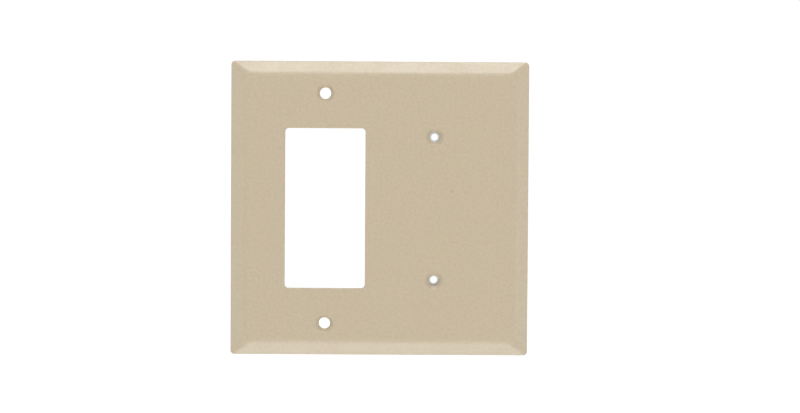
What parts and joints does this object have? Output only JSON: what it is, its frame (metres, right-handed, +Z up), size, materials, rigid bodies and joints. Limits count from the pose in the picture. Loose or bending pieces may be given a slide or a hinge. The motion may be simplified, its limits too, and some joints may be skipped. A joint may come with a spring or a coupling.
{
  "type": "wall plate cover",
  "caption": "Square ivory wall cover with a rectangular device opening beside a blank gang, and the steel strap with captive screws that carries the blank gang.",
  "frame": {"origin": "centre of the cover on the wall plane, on the back edge of the rib between the two gangs", "axes": "-Y out of the wall towards the viewer, +X to the viewer's right (the blank gang's side), +Z up"},
  "size_m": [0.1254, 0.0305, 0.1238],
  "materials": {
    "ivory_moulding": "satin thermoset moulding with a fine mottle",
    "zinc_plated_steel": "bright zinc plate, faint rolling lines",
    "zinc_plated_screw": "bright zinc plate",
    "red_fibre": "matte vulcanised fibre"
  },
  "bodies": {
    "strap": {"mounting_strap": "zinc_plated_steel"},
    "cover": {"wall_plate": "ivory_moulding"},
    "upper_washer": {"screw_washer_upper": "red_fibre"},
    "lower_washer": {"screw_washer_lower": "red_fibre"},
    "upper_screw": {"box_screw_upper": "zinc_plated_screw"},
    "lower_screw": {"box_screw_lower": "zinc_plated_screw"}
  },
  "joints": [
    {"name": "cover_pull_off", "type": "slide", "parent": "strap", "child": "cover", "axis": [0, -1, 0], "range_m": [0, 0.03]},
    {"name": "upper_washer_slide", "type": "slide", "parent": "strap", "child": "upper_washer", "axis": [1, 0, 0], "range_m": [-0.0018, 0.0018]},
    {"name": "lower_washer_slide", "type": "slide", "parent": "strap", "child": "lower_washer", "axis": [1, 0, 0], "range_m": [-0.0018, 0.0018]},
    {"name": "upper_screw_turn", "type": "hinge", "parent": "upper_washer", "child": "upper_screw", "pos_m": [0.02302, -0.0015, 0.04167], "axis": [0, 1, 0], "continuous": true},
    {"name": "lower_screw_turn", "type": "hinge", "parent": "lower_washer", "child": "lower_screw", "pos_m": [0.02302, -0.0015, -0.04167], "axis": [0, 1, 0], "continuous": true}
  ]
}
